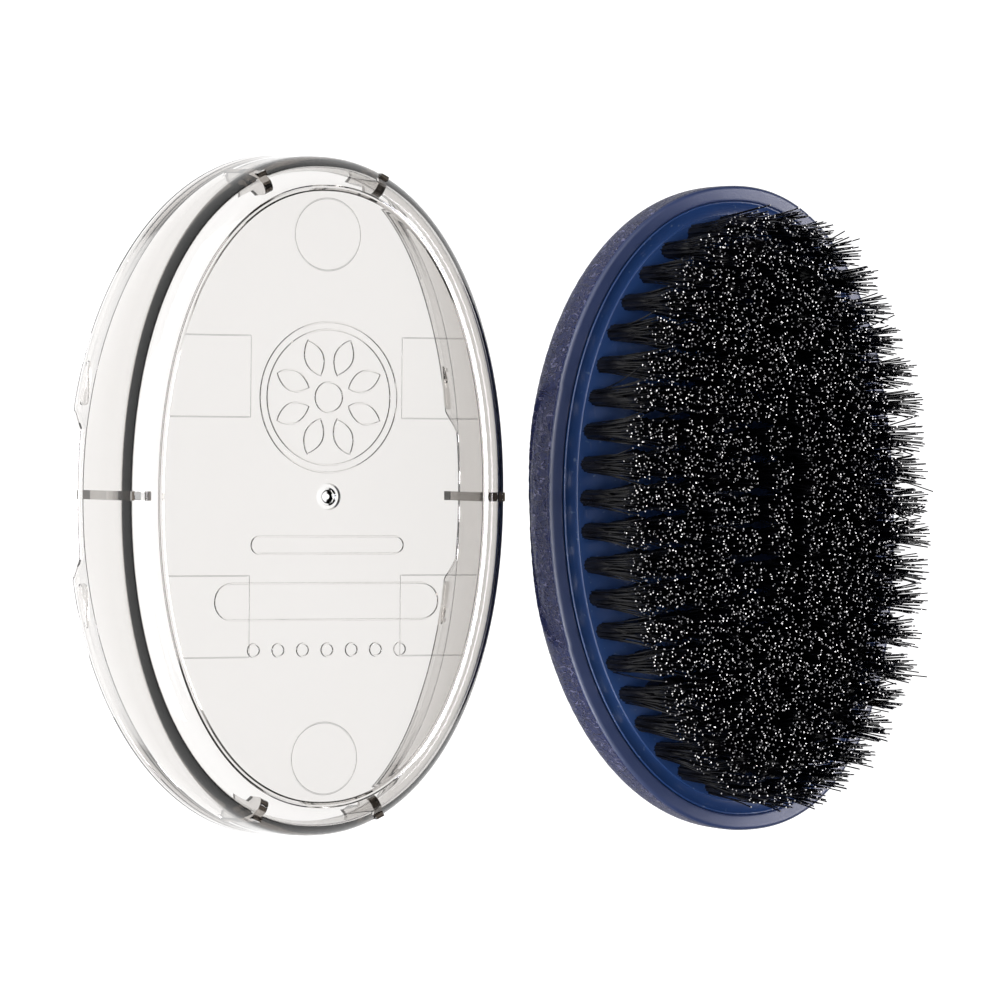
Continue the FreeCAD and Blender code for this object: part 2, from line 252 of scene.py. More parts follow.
def make_object(name, points, faces, materials, face_slots=None, crease=35):
    """A mesh object from points in millimetres, smooth except where it turns by more than crease."""
    mesh = bpy.data.meshes.new(name)
    mesh.from_pydata((np.asarray(points) * MM).tolist(), [], faces)
    mesh.validate()
    for material in materials:
        mesh.materials.append(material)
    if face_slots is not None:
        mesh.polygons.foreach_set("material_index", face_slots)
    mesh.shade_smooth()
    mesh.set_sharp_from_angle(angle=math.radians(crease))
    mesh.update()
    obj = bpy.data.objects.new(name, mesh)
    bpy.context.scene.collection.objects.link(obj)
    return obj


def ring_faces(rings, around):
    """Quads that join each ring of points to the next, with both ends closed by one face."""
    faces = []
    for r in range(rings - 1):
        low = r * around
        high = low + around
        for i in range(around):
            j = (i + 1) % around
            faces.append((low + i, low + j, high + j, high + i))
    faces.append(tuple(range(around - 1, -1, -1)))
    last = (rings - 1) * around
    faces.append(tuple(range(last, last + around)))
    return faces


def smooth_step(low, high, value):
    t = np.clip((value - low) / (high - low), 0, 1)
    return t * t * (3 - 2 * t)


def lattice_noise(points, seed):
    """Smooth noise between about -1 and 1 at points given in cells."""
    cell = np.floor(points).astype(np.int64)
    part = points - cell
    fade = part * part * part * (part * (part * 6 - 15) + 10)
    total = np.zeros(len(points))
    for corner in range(8):
        step = np.array([corner & 1, (corner >> 1) & 1, (corner >> 2) & 1])
        at = cell + step
        mixed = at[:, 0] * 73856093 ^ at[:, 1] * 19349663 ^ at[:, 2] * 83492791 ^ seed * 2654435761
        mixed = (mixed ^ (mixed >> 13)) * 1274126177
        mixed = mixed ^ (mixed >> 16)
        angle = (mixed & 0xFFFF) / 65536 * 2 * math.pi
        tilt = ((mixed >> 16) & 0xFFFF) / 65536 * 2 - 1
        flat = np.sqrt(np.maximum(0, 1 - tilt * tilt))
        away = part - step
        dot = away[:, 0] * flat * np.cos(angle) + away[:, 1] * flat * np.sin(angle) + away[:, 2] * tilt
        share = np.where(step == 1, fade, 1 - fade).prod(axis=1)
        total += dot * share
    return total * 1.6


# ---- materials ----------------------------------------------------------------------
def new_material(name):
    material = bpy.data.materials.new(name)
    material.use_nodes = True
    return material, material.node_tree, material.node_tree.nodes["Principled BSDF"]


def object_coordinates(tree, scale):
    """Object coordinates, in metres, stretched by scale along each axis."""
    place = tree.nodes.new("ShaderNodeTexCoord")
    mapping = tree.nodes.new("ShaderNodeMapping")
    mapping.inputs["Scale"].default_value = scale
    tree.links.new(place.outputs["Object"], mapping.inputs["Vector"])
    return mapping.outputs["Vector"]


def noise(tree, vector, scale, detail=3.0, roughness=0.5, distortion=0.0):
    node = tree.nodes.new("ShaderNodeTexNoise")
    node.inputs["Scale"].default_value = scale
    node.inputs["Detail"].default_value = detail
    node.inputs["Roughness"].default_value = roughness
    node.inputs["Distortion"].default_value = distortion
    tree.links.new(vector, node.inputs["Vector"])
    return node.outputs["Fac"]


def ramp(tree, value, stops):
    """A colour ramp; stops are (position, colour) pairs."""
    node = tree.nodes.new("ShaderNodeValToRGB")
    elements = node.color_ramp.elements
    while len(elements) < len(stops):
        elements.new(0.5)
    for element, (position, colour) in zip(elements, stops):
        element.position = position
        element.color = (*colour, 1)
    tree.links.new(value, node.inputs["Fac"])
    return node.outputs["Color"]


def spread(tree, value, low, high):
    """Maps a 0 to 1 value to the range low to high."""
    node = tree.nodes.new("ShaderNodeMapRange")
    node.inputs["To Min"].default_value = low
    node.inputs["To Max"].default_value = high
    tree.links.new(value, node.inputs["Value"])
    return node.outputs["Result"]


def bump(tree, height, strength, distance, under=None):
    node = tree.nodes.new("ShaderNodeBump")
    node.inputs["Strength"].default_value = strength
    node.inputs["Distance"].default_value = distance
    tree.links.new(height, node.inputs["Height"])
    if under is not None:
        tree.links.new(under, node.inputs["Normal"])
    return node.outputs["Normal"]


def ridged(tree, value, sharpness):
    """Thin lines where a noise value crosses its middle."""
    centre = tree.nodes.new("ShaderNodeMath")
    centre.operation = "SUBTRACT"
    centre.inputs[1].default_value = 0.5
    tree.links.new(value, centre.inputs[0])
    size = tree.nodes.new("ShaderNodeMath")
    size.operation = "ABSOLUTE"
    tree.links.new(centre.outputs[0], size.inputs[0])
    line = tree.nodes.new("ShaderNodeMapRange")
    line.interpolation_type = "SMOOTHSTEP"
    line.inputs["From Min"].default_value = 0.0
    line.inputs["From Max"].default_value = sharpness
    line.inputs["To Min"].default_value = 1.0
    line.inputs["To Max"].default_value = 0.0
    tree.links.new(size.outputs[0], line.inputs["Value"])
    return line.outputs["Result"]


def body_material():
    """Satin navy moulding of the rim band and the hollow inside."""
    material, tree, shader = new_material("navy_moulding")
    place = object_coordinates(tree, (1, 1, 1))
    cloud = noise(tree, place, 60, 4)
    shader.inputs["Specular IOR Level"].default_value = 0.55
    tree.links.new(
        ramp(tree, cloud, [(0.3, (0.014, 0.023, 0.064)), (0.7, (0.019, 0.029, 0.078))]),
        shader.inputs["Base Color"])
    tree.links.new(spread(tree, noise(tree, place, 300, 3), 0.30, 0.42), shader.inputs["Roughness"])
    fine = bump(tree, noise(tree, place, 3200, 2), 0.10, 0.0002)
    tree.links.new(fine, shader.inputs["Normal"])
    return material


def grain_material():
    """The same navy plastic where the mould has a leather texture, with a painted highlight along its raised
    lines.
    """
    material, tree, shader = new_material("navy_leather_grain")
    place = object_coordinates(tree, (1.0, 1.0, 0.45))
    lines = ridged(tree, noise(tree, place, 700, 1.0, 0.5, 1.2), 0.07)
    pores = noise(tree, place, 2300, 3)
    shader.inputs["Specular IOR Level"].default_value = 0.06
    # The raised lines are coloured lighter than the navy between them: a painted highlight on the ridges of
    # the grain.
    tree.links.new(
        ramp(tree, lines, [(0.0, (0.010, 0.014, 0.052)), (1.0, (0.092, 0.097, 0.185))]),
        shader.inputs["Base Color"])
    tree.links.new(spread(tree, pores, 0.28, 0.50), shader.inputs["Roughness"])
    coarse = bump(tree, lines, 1.0, 0.0008)
    tree.links.new(bump(tree, pores, 0.5, 0.0004, coarse), shader.inputs["Normal"])
    return material


def plate_material():
    """Glossier blue moulding with hairline scuffs and specks between the tufts."""
    material, tree, shader = new_material("blue_moulding")
    place = object_coordinates(tree, (1, 1, 1))
    slanted = object_coordinates(tree, (1.0, 0.12, 1.0))
    specks = ramp(tree, noise(tree, place, 900, 1), [(0.70, (0, 0, 0)), (0.78, (1, 1, 1))])
    tone = ramp(tree, noise(tree, place, 45, 4), [(0.3, (0.006, 0.021, 0.078)), (0.7, (0.009, 0.029, 0.100))])
    blend = tree.nodes.new("ShaderNodeMix")
    blend.data_type = "RGBA"
    blend.inputs["B"].default_value = (0.06, 0.085, 0.15, 1)
    tree.links.new(specks, blend.inputs["Factor"])
    tree.links.new(tone, blend.inputs["A"])
    tree.links.new(blend.outputs["Result"], shader.inputs["Base Color"])
    tree.links.new(spread(tree, noise(tree, place, 220, 3), 0.24, 0.38), shader.inputs["Roughness"])
    scuffs = ridged(tree, noise(tree, slanted, 420, 2, 0.5, 0.3), 0.012)
    fine = bump(tree, noise(tree, place, 1500, 2), 0.08, 0.0002)
    tree.links.new(bump(tree, scuffs, 0.12, 0.0002, fine), shader.inputs["Normal"])
    return material


def strand_material():
    """Black nylon filament with a soft sheen along its length."""
    material, tree, shader = new_material("black_filament")
    place = object_coordinates(tree, (1, 1, 0.1))
    tree.links.new(
        ramp(tree, noise(tree, place, 1400, 2), [
            (0.35, (0.0006, 0.0006, 0.0009)), (0.7, (0.0025, 0.0025, 0.0035))]),
        shader.inputs["Base Color"])
    tree.links.new(spread(tree, noise(tree, place, 700, 2), 0.20, 0.32), shader.inputs["Roughness"])
    shader.inputs["Specular IOR Level"].default_value = 0.14
    return material


def tip_material():
    """The cut end of a black filament, with a painted glint that is strong on some ends and faint or missing
    on others, at random.
    """
    material, tree, shader = new_material("cut_filament_end")
    shade = tree.nodes.new("ShaderNodeAttribute")
    shade.attribute_name = "painted_glint_share"
    # Light grey here is a painted highlight: it stands in for light glinting off the cut ends.
    tree.links.new(
        ramp(tree, shade.outputs["Fac"], [
            (0.0, (0.004, 0.004, 0.004)), (0.35, (0.03, 0.03, 0.03)),
            (0.75, (0.30, 0.29, 0.28)), (1.0, (0.95, 0.93, 0.90))]),
        shader.inputs["Base Color"])
    shader.inputs["Roughness"].default_value = 0.4
    return material


def anchor_material():
    """Drawn brass strip with faint lengthwise streaks."""
    material, tree, shader = new_material("drawn_brass")
    place = object_coordinates(tree, (0.2, 0.2, 2))
    tree.links.new(
        ramp(tree, noise(tree, place, 900, 2), [(0.3, (0.55, 0.40, 0.17)), (0.7, (0.72, 0.55, 0.26))]),
        shader.inputs["Base Color"])
    shader.inputs["Metallic"].default_value = 1.0
    tree.links.new(spread(tree, noise(tree, place, 1200, 2), 0.25, 0.4), shader.inputs["Roughness"])
    return material


def cover_material():
    """Clear, very slightly smoky moulded plastic that lets the lamps' light through."""
    material, tree, shader = new_material("smoky_clear_plastic")
    place = object_coordinates(tree, (1, 1, 1))
    shader.inputs["Transmission Weight"].default_value = 1.0
    shader.inputs["IOR"].default_value = 1.49
    shader.inputs["Base Color"].default_value = (1, 1, 1, 1)
    tree.links.new(spread(tree, noise(tree, place, 130, 3), 0.005, 0.05), shader.inputs["Roughness"])
    tree.links.new(bump(tree, noise(tree, place, 35, 2), 0.05, 0.0006), shader.inputs["Normal"])
    output = tree.nodes["Material Output"]
    smoke = tree.nodes.new("ShaderNodeVolumeAbsorption")
    smoke.inputs["Color"].default_value = (*SMOKE_COLOUR, 1)
    smoke.inputs["Density"].default_value = SMOKE_DENSITY
    tree.links.new(smoke.outputs["Volume"], output.inputs["Volume"])
    clear = tree.nodes.new("ShaderNodeBsdfTransparent")
    clear.inputs["Color"].default_value = (0.93, 0.925, 0.92, 1)
    ray = tree.nodes.new("ShaderNodeLightPath")
    mix = tree.nodes.new("ShaderNodeMixShader")
    tree.links.new(ray.outputs["Is Shadow Ray"], mix.inputs["Fac"])
    tree.links.new(shader.outputs["BSDF"], mix.inputs[1])
    tree.links.new(clear.outputs["BSDF"], mix.inputs[2])
    tree.links.new(mix.outputs["Shader"], output.inputs["Surface"])
    return material


def floor_material():
    """A light table: evenly bright in the middle, falling off to grey further out."""
    material, tree, shader = new_material("light_table")
    place = object_coordinates(tree, (1, 1, 1))
    length = tree.nodes.new("ShaderNodeVectorMath")
    length.operation = "LENGTH"
    tree.links.new(place, length.inputs[0])
    glow = tree.nodes.new("ShaderNodeMapRange")
    glow.interpolation_type = "SMOOTHSTEP"
    glow.inputs["From Min"].default_value = TABLE_BRIGHT_RADIUS
    glow.inputs["From Max"].default_value = TABLE_DARK_RADIUS
    glow.inputs["To Min"].default_value = TABLE_BRIGHTNESS
    glow.inputs["To Max"].default_value = TABLE_DARKNESS
    tree.links.new(length.outputs["Value"], glow.inputs["Value"])
    tree.links.new(glow.outputs["Result"], shader.inputs["Emission Strength"])
    shader.inputs["Emission Color"].default_value = (1, 1, 1, 1)
    shader.inputs["Base Color"].default_value = (0.05, 0.05, 0.05, 1)
    shader.inputs["Roughness"].default_value = 0.9
    shader.inputs["Specular IOR Level"].default_value = 0.0
    return material


# ---- handle -------------------------------------------------------------------------
def dome_rise(spread_out):
    """Height of the rounded back at a share of the way from its middle to its edge."""
    return DOME_DEPTH * (1 - (1 - spread_out ** DOME_POWER) ** (1 / DOME_POWER)) - LAND_CUT


def recess_share(x, y, z):
    """1 inside the finger recess of either long side, 0 outside, with a short slope between."""
    low = z - bow(y)
    arch = np.sqrt((y / RECESS_HALF_LENGTH) ** 2 + np.clip((RIM_Z - low) / RECESS_HEIGHT, 0, 9) ** 4)
    return (1 - smooth_step(RECESS_FLAT_SHARE, 1.0, arch)) * (np.abs(x) > RECESS_FROM_X)


def grain_field(points, share):
    """Height of the raised squiggly lines, fainter outside the recess and towards the ends."""
    stretched = points / np.array(GRAIN_CELL)
    warp = lattice_noise(points / GRAIN_WARP_CELL, 5)[:, None] * GRAIN_WARP
    crest = 1 - np.abs(lattice_noise(stretched + warp, 11))
    lines = smooth_step(*GRAIN_LINE, crest)
    fade = GRAIN_OUTSIDE_RECESS + (1 - GRAIN_OUTSIDE_RECESS) * share
    ends = 1 - smooth_step(*GRAIN_FADES_ALONG, np.abs(points[:, 1]))
    return lines * fade * (GRAIN_AT_ENDS + (1 - GRAIN_AT_ENDS) * ends)


def make_handle(body, grain):
    around = HANDLE_AROUND
    turns = np.arange(around) / around * 2 * math.pi
    rings = []

    def add(inset, z, scale=1.0, seat=0.0):
        """One ring of the profile: an outline shrunk by scale and inset, z above the bow."""
        half_length = (HALF_LENGTH - seat) * scale - inset
        half_width = (HALF_WIDTH - seat) * scale - inset
        x, y = oval(half_length, half_width, turns)
        rings.append(np.stack([x, y, np.maximum(z + bow(y), 0)], 1))

    flat_part = np.linspace(*DOME_FLAT, DOME_FLAT_RINGS)
    steep_part = 1 - np.linspace(math.sqrt(DOME_STEEP), 0, DOME_STEEP_RINGS) ** 2
    for share in np.concatenate([flat_part, steep_part]):
        add(0, dome_rise(share), share)
    top_of_wall = RIM_Z - RIM_EDGE_RADIUS
    for z in np.linspace(DOME_DEPTH - LAND_CUT, top_of_wall - RIM_SLOPE, 12)[1:]:
        add(0, z)
    for k in range(1, RIM_EDGE_STEPS + 1):
        turn = k / RIM_EDGE_STEPS * math.pi / 2
        add(
            RIM_EDGE_RADIUS * (1 - math.cos(turn)),
            top_of_wall - RIM_SLOPE + RIM_EDGE_RADIUS * math.sin(turn))
    grained_rings = len(rings)
    band = HALF_WIDTH - SEAT_HALF_WIDTH
    for share in np.linspace(0, 1, 6)[1:]:
        add(RIM_EDGE_RADIUS + (band - SEAT_EDGE - RIM_EDGE_RADIUS) * share, RIM_Z - RIM_SLOPE * (1 - share))
    for k in range(1, 5):
        turn = k / 4 * math.pi / 2
        add(band - SEAT_EDGE + SEAT_EDGE * math.sin(turn), RIM_Z - SEAT_EDGE * (1 - math.cos(turn)))
    for z in (RIM_Z - 1.2, RIM_Z - SEAT_DEPTH):
        add(band, z)
    for inset in (band + 1.0, band + LEDGE):
        add(inset, RIM_Z - SEAT_DEPTH)
    for share in (0.97, 0.9, 0.8, 0.6, 0.3, 0.03):
        add(band + LEDGE, SHELL_WALL + 0.6 + 10 * share ** 4, share)
    points = np.concatenate(rings)

    wall = points[: grained_rings * around]
    share = recess_share(wall[:, 0], wall[:, 1], wall[:, 2])
    height = wall[:, 2] - bow(wall[:, 1])
    on_wall = smooth_step(*GRAIN_STARTS, height)
    under_edge = 1 - smooth_step(RIM_Z - RECESS_FADE[0], RIM_Z - RECESS_FADE[1], height)
    outward = np.stack([wall[:, 0] / HALF_WIDTH ** 2, wall[:, 1] / HALF_LENGTH ** 2], 1)
    outward /= np.linalg.norm(outward, axis=1)[:, None]
    push = GRAIN_HEIGHT * grain_field(wall, share) * on_wall * under_edge
    push -= RECESS_DEPTH * share * on_wall * (0.25 + 0.75 * under_edge)
    wall[:, :2] += outward * push[:, None]

    faces = ring_faces(len(rings), around)
    slots = np.zeros(len(faces), dtype=np.int32)
    slots[: (grained_rings - SMOOTH_RIM_RINGS) * around] = 1
    obj = make_object("handle", points, faces, [body, grain], slots, HANDLE_CREASE)
    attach(obj, "brush")
    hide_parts("handle_shell")


# ---- bristle plate ------------------------------------------------------------------
def make_plate(material):
    around = PLATE_AROUND
    turns = np.arange(around) / around * 2 * math.pi
    half_length = SEAT_HALF_LENGTH - SEAT_GAP
    half_width = SEAT_HALF_WIDTH - SEAT_GAP
    edge = PLATE_EDGE
    pad_edge = PAD_EDGE
    underside = RIM_Z - SEAT_DEPTH + 0.02
    profile = [(12.0, underside), (0.0, underside), (0.0, RIM_Z - edge)]
    for k in range(1, 5):
        turn = k / 4 * math.pi / 2
        profile.append((edge * (1 - math.cos(turn)), RIM_Z + PLATE_LIP - edge + edge * math.sin(turn)))
    profile += [(0.45, RIM_Z + PLATE_LIP * 0.7), (0.65, RIM_Z), (1.8, RIM_Z)]
    profile += [(PAD_INSET - pad_edge - 0.1, RIM_Z), (PAD_INSET - 0.05, RIM_Z + 0.06)]
    profile.append((PAD_INSET, RIM_Z + PAD_RISE - pad_edge))
    for k in range(1, 4):
        turn = k / 3 * math.pi / 2
        inset = PAD_INSET + pad_edge * (1 - math.cos(turn))
        profile.append((inset, RIM_Z + PAD_RISE - pad_edge + pad_edge * math.sin(turn)))
    rings = []
    for inset, z in profile:
        x, y = oval(half_length - inset, half_width - inset, turns)
        rings.append(np.stack([x, y, z + bow(y)], 1))
    inner_length = half_length - PAD_INSET - pad_edge
    inner_width = half_width - PAD_INSET - pad_edge
    for share in np.linspace(1, 0.02, 24)[1:]:
        x, y = oval(inner_length * share, inner_width * share, turns)
        rings.append(np.stack([x, y, RIM_Z + PAD_RISE + bow(y)], 1))
    obj = make_object("tuft_plate", np.concatenate(rings), ring_faces(len(rings), around), [material])
    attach(obj, "brush")
    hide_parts("bristle_plate")


# ---- bristles -----------------------------------------------------------------------
def ring_centres(ring):
    """Evenly spaced tuft centres on one ring, each ring half a pitch off the last."""
    turns = np.linspace(0, 2 * math.pi, 1441)
    x, y = oval(RING_HALF_LENGTH - ring * RING_STEP, RING_HALF_WIDTH - ring * RING_STEP, turns)
    travel = np.concatenate([[0], np.cumsum(np.hypot(np.diff(x), np.diff(y)))])
    count = RING_COUNTS[ring]
    start = 0.5 if ring % 2 else 0.0
    want = (np.arange(count) + start) / count * travel[-1]
    return np.stack([np.interp(want, travel, x), np.interp(want, travel, y)], 1)


def row_centres():
    along = (np.arange(ROW_COUNT) - (ROW_COUNT - 1) / 2) * TUFT_PITCH
    return np.stack([np.zeros(ROW_COUNT), along], 1)


def strand_lines(centres):
    """Root to tip points of every strand in the tufts at these centres."""
    tufts = len(centres)
    order = np.arange(STRANDS)
    radius = np.sqrt((order + 0.5) / STRANDS)
    turn = order * GOLDEN_TURN + rng.uniform(0, 2 * math.pi, (tufts, 1))
    turn = turn + rng.normal(0, TURN_JITTER, (tufts, STRANDS))
    reach = radius * (1 + rng.normal(0, REACH_JITTER, (tufts, STRANDS)))
    side = np.stack([np.cos(turn), np.sin(turn)], 2)
    root = side * (reach * ROOT_SPREAD)[:, :, None]
    lean = rng.normal(TIP_LEAN, LEAN_JITTER, (tufts, 1, 2))
    tip = side * (reach * TIP_SPREAD)[:, :, None] + lean
    tip += rng.normal(0, TIP_JITTER, (tufts, STRANDS, 2))
    stray = rng.random((tufts, STRANDS)) < STRAY_SHARE
    tip += stray[:, :, None] * rng.normal(0, STRAY_REACH, (tufts, STRANDS, 2))
    bend = rng.normal(0, BEND_JITTER, (tufts, STRANDS, 2))
    middle_y = centres[:, 1][:, None]
    low = np.broadcast_to(RIM_Z + bow(middle_y) + PAD_RISE - ROOT_DEPTH, (tufts, STRANDS))
    high = TIP_Z + TIP_FOLLOWS_BOW * bow(middle_y) + rng.normal(0, HEIGHT_JITTER, (tufts, STRANDS))
    short = rng.random((tufts, STRANDS)) < SHORT_SHARE
    high = high - short * rng.uniform(*SHORT_BY, (tufts, STRANDS))
    high = np.minimum(high, TIP_Z + TALLEST)
    steps = np.linspace(0, 1, STRAND_STEPS)
    flare = FLARE_LOW * steps + (1 - FLARE_LOW) * steps ** FLARE_POWER
    curve = steps * (1 - steps) * 4 * BEND_SHARE
    lines = np.empty((tufts, STRANDS, STRAND_STEPS, 3))
    lines[..., :2] = centres[:, None, None, :] + root[:, :, None, :]
    lines[..., :2] += (tip - root)[:, :, None, :] * flare[None, None, :, None]
    lines[..., :2] += bend[:, :, None, :] * curve[None, None, :, None]
    lines[..., 2] = low[:, :, None] + (high - low)[:, :, None] * steps
    return lines.reshape(-1, STRAND_STEPS, 3)


def tuft_cores(centres, profile):
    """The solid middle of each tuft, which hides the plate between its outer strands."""
    sides = CORE_SIDES
    turns = np.arange(sides) / sides * 2 * math.pi
    fluted = 1 + CORE_FLUTE_DEPTH * np.cos(turns * CORE_FLUTES)
    circle_points = np.stack([fluted * np.cos(turns), fluted * np.sin(turns)], 1)
    points = []
    faces = []
    for x, y in centres:
        start = len(points) * sides
        base = RIM_Z + PAD_RISE + float(bow(y))
        for radius, rise in profile:
            ring = circle_points * radius + np.array([x, y])
            points.append(np.column_stack([ring, np.full(sides, base + rise)]))
        faces += [tuple(i + start for i in face) for face in ring_faces(len(profile), sides)]
    return np.concatenate(points), faces


def make_bristles(number, centres, strand, cut):
    """All strands of one ring as one mesh of closed tubes with slightly spread cut ends."""
    lines = strand_lines(centres)
    count = len(lines)
    sides = STRAND_SIDES
    levels = STRAND_STEPS + 1
    angles = np.arange(sides) / sides * 2 * math.pi
    shape = np.stack([np.cos(angles), np.sin(angles), np.zeros(sides)], 1)
    thick = STRAND_RADIUS * rng.uniform(*STRAND_THICKNESS, count)
    body = lines[:, :, None, :] + shape[None, None] * thick[:, None, None, None]
    lip = lines[:, -1:, None, :] + shape[None, None] * (thick * CUT_WIDTH)[:, None, None, None]
    lip[..., 2] += CUT_LIP
    crown = lines[:, -1, None, :] + np.array([0, 0, CUT_CROWN])
    points = np.concatenate([
        body.reshape(count, -1, 3), lip.reshape(count, -1, 3), crown], axis=1)
    per_strand = levels * sides + 1

    walls = []
    for level in range(levels - 1):
        for i in range(sides):
            j = (i + 1) % sides
            low = level * sides
            walls.append((low + i, low + j, low + sides + j, low + sides + i))
    last = (levels - 1) * sides
    caps = [(last + i, last + (i + 1) % sides, per_strand - 1) for i in range(sides)]
    foot = tuple(range(sides - 1, -1, -1))
    starts = (np.arange(count) * per_strand)[:, None, None]
    wall_faces = (np.array(walls)[None] + starts).reshape(-1, 4).tolist()
    cap_faces = (np.array(caps)[None] + starts).reshape(-1, 3).tolist()
    foot_faces = (np.array([foot])[None] + starts).reshape(-1, sides).tolist()
    strand_points = points.reshape(-1, 3)
    core_points, core_faces = tuft_cores(centres, OUTER_CORE if number == 1 else INNER_CORE)
    first_core = len(strand_points)
    core_faces = [tuple(i + first_core for i in face) for face in core_faces]
    faces = wall_faces + cap_faces + foot_faces + core_faces
    slots = np.zeros(len(faces), dtype=np.int32)
    slots[len(wall_faces): len(wall_faces) + len(cap_faces)] = 1
    all_points = np.concatenate([strand_points, core_points])
    obj = make_object("bristles_ring_" + str(number), all_points, faces, [strand, cut], slots, STRAND_CREASE)
    # Each strand's cut end gets a random share of the painted glint.
    bright = np.zeros(len(all_points), dtype=np.float32)
    bright[:first_core] = np.repeat(rng.random(count), per_strand)
    shade = obj.data.attributes.new("painted_glint_share", "FLOAT", "POINT")
    shade.data.foreach_set("value", bright)
    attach(obj, "brush")
    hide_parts("tufts_ring_" + str(number))


# ---- dust cover ---------------------------------------------------------------------
def cover_rim(x, y):
    """Height of the cover's lower edge: bowed like the brush, with a finger notch each side."""
    ramp_up = (NOTCH_HALF_LENGTH - np.abs(y)) / NOTCH_RAMP * NOTCH_DEPTH
    notch = np.clip(ramp_up, NO_NOTCH, NOTCH_DEPTH)
    return np.maximum(bow(y), np.where(np.abs(x) > NOTCH_FROM_X, notch, NO_NOTCH))


def cover_shell():
    """Rings of the thin hood, from the rim up the outside, over the top and down the inside."""
    around = COVER_AROUND
    turns = np.arange(around) / around * 2 * math.pi
    rings = []

    def lean(z):
        return COVER_TAPER * np.maximum(z, 0) / COVER_HEIGHT

    def flat_ring(inset, z):
        inset = inset + lean(z)
        x, y = oval(COVER_HALF_LENGTH - inset, COVER_HALF_WIDTH - inset, turns)
        rings.append(np.stack([x, y, np.full(around, z)], 1))

    def rising_ring(inset, share, z_top):
        """Between the rim and a level; share 0 is on the rim."""
        x, y = oval(COVER_HALF_LENGTH - inset, COVER_HALF_WIDTH - inset, turns)
        low = cover_rim(x, y)
        rings.append(np.stack([x, y, low + (z_top - low) * share], 1))

    edge = COVER_EDGE
    rising_ring(edge, 0.0, COVER_BOWED_TO)
    rising_ring(edge * 0.3, 0.008, COVER_BOWED_TO)
    for share in (0.025, 0.15, 0.3, 0.5, 0.75, 1.0):
        rising_ring(lean(COVER_BOWED_TO) * share, share, COVER_BOWED_TO)
    for z in np.linspace(COVER_BOWED_TO, COVER_HEIGHT - COVER_CORNER, 6)[1:]:
        flat_ring(0, z)
    for k in range(1, CORNER_STEPS + 1):
        turn = k / CORNER_STEPS * math.pi / 2
        flat_ring(COVER_CORNER * (1 - math.cos(turn)), COVER_HEIGHT - COVER_CORNER * (1 - math.sin(turn)))
    for share in np.linspace(1, 0.12, 8)[1:]:
        inset = lean(COVER_HEIGHT) + COVER_CORNER
        x, y = oval((COVER_HALF_LENGTH - inset) * share, (COVER_HALF_WIDTH - inset) * share, turns)
        rings.append(np.stack([x, y, np.full(around, COVER_HEIGHT)], 1))
    for radius, drop in GATE:
        rings.append(np.stack([
            radius * np.cos(turns), radius * np.sin(turns), np.full(around, COVER_HEIGHT + drop)], 1))

    ceiling = COVER_HEIGHT - COVER_TOP
    x, y = oval(2.0, 2.0, turns)
    rings.append(np.stack([x, y, np.full(around, ceiling)], 1))
    inner = COVER_WALL + CEILING_CORNER + lean(ceiling) + 2 * CEILING_LINE
    for share in np.linspace(0.2, 1.0, 7):
        x, y = oval((COVER_HALF_LENGTH - inner) * share, (COVER_HALF_WIDTH - inner) * share, turns)
        rings.append(np.stack([x, y, np.full(around, ceiling)], 1))
    for groove_inset, drop in CEILING_GROOVE:
        inset = COVER_WALL + CEILING_CORNER + lean(ceiling) + groove_inset * CEILING_LINE
        x, y = oval(COVER_HALF_LENGTH - inset, COVER_HALF_WIDTH - inset, turns)
        rings.append(np.stack([x, y, np.full(around, ceiling - drop * CEILING_LINE)], 1))
    for k in range(CORNER_STEPS, -1, -1):
        turn = k / CORNER_STEPS * math.pi / 2
        inset = COVER_WALL + CEILING_CORNER * (1 - math.cos(turn))
        flat_ring(inset, ceiling - CEILING_CORNER * (1 - math.sin(turn)))
    for z in (20.0, 16.0, 13.5):
        flat_ring(COVER_WALL, z)
    skirt = COVER_HALF_WIDTH - HALF_WIDTH - SKIRT_GAP
    x, y = oval(COVER_HALF_LENGTH - COVER_WALL, COVER_HALF_WIDTH - COVER_WALL, turns)
    ledge = SKIRT_HEIGHT + bow(y)
    rings.append(np.stack([x, y, ledge + 0.15], 1))
    rings.append(np.stack([x * 1.004, y * 1.003, ledge], 1))
    for share in (1.0, 0.6, 0.3, 0.06):
        x, y = oval(COVER_HALF_LENGTH - skirt, COVER_HALF_WIDTH - skirt, turns)
        low = cover_rim(x, y)
        rings.append(np.stack([x, y, low + (SKIRT_HEIGHT + bow(y) - low) * share], 1))
    x, y = oval(COVER_HALF_LENGTH - skirt + edge, COVER_HALF_WIDTH - skirt + edge, turns)
    rings.append(np.stack([x, y, cover_rim(x, y)], 1))

    count = len(rings)
    faces = []
    for r in range(count):
        s = (r + 1) % count
        for i in range(around):
            j = (i + 1) % around
            faces.append((r * around + i, r * around + j, s * around + j, s * around + i))
    return np.concatenate(rings), faces


def closed_prism(outline, thickness):
    """A flat outline in (u, z) made into a plate of this thickness across v."""
    count = len(outline)
    points = [(u, v, z) for v in (-thickness / 2, thickness / 2) for u, z in outline]
    faces = [tuple(range(count)), tuple(range(2 * count - 1, count - 1, -1))]
    for i in range(count):
        j = (i + 1) % count
        faces.append((i, i + count, j + count, j))
    return np.array(points, dtype=float), faces


def turned(points, angle, x, y):
    c = math.cos(angle)
    s = math.sin(angle)
    moved = points.copy()
    moved[:, 0] = c * points[:, 0] - s * points[:, 1] + x
    moved[:, 1] = s * points[:, 0] + c * points[:, 1] + y
    return moved


